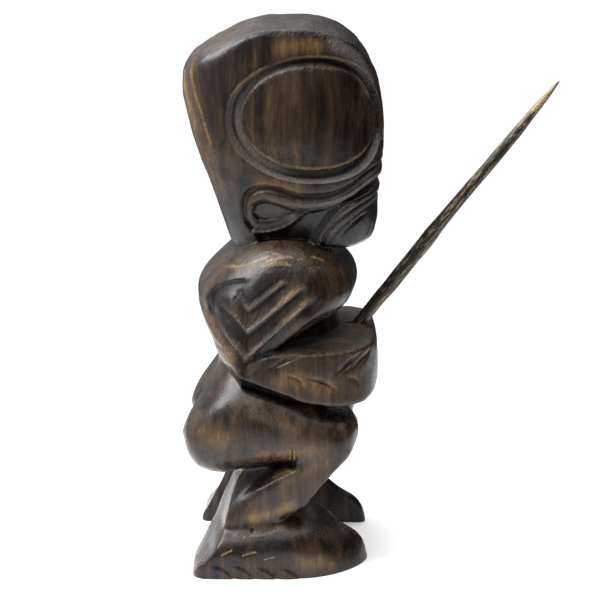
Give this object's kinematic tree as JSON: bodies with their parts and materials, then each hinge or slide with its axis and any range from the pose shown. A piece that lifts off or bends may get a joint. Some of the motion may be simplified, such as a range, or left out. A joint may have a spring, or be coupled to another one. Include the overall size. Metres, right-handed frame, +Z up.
{
  "type": "tiki figure",
  "caption": "Carved wooden tiki figure with large oval eyes and joined hands that hold a loose, slanting wooden spear.",
  "frame": {"origin": "on the floor plane of the soles, at the centre of the whole object's bounding box, spear included; the figure's own middle plane is X = 0", "axes": "+Z up from the soles to the crown; the figure looks along -Y, and its right hand is on -X"},
  "size_m": [0.123, 0.2071, 0.3],
  "materials": {
    "stained_wood": "dark stained and polished satin, with golden brown grain and worn edges",
    "spear_wood": "dark whittled hardwood with fine straw-coloured streaks, low sheen"
  },
  "bodies": {
    "figure": {"carved_figure": "stained_wood"},
    "loose_spear": {"spear": "spear_wood"}
  },
  "joints": [
    {"name": "spear_pull", "type": "slide", "parent": "figure", "child": "loose_spear", "axis": [0, -0.6211, 0.7837], "range_m": [0, 0.035]}
  ]
}
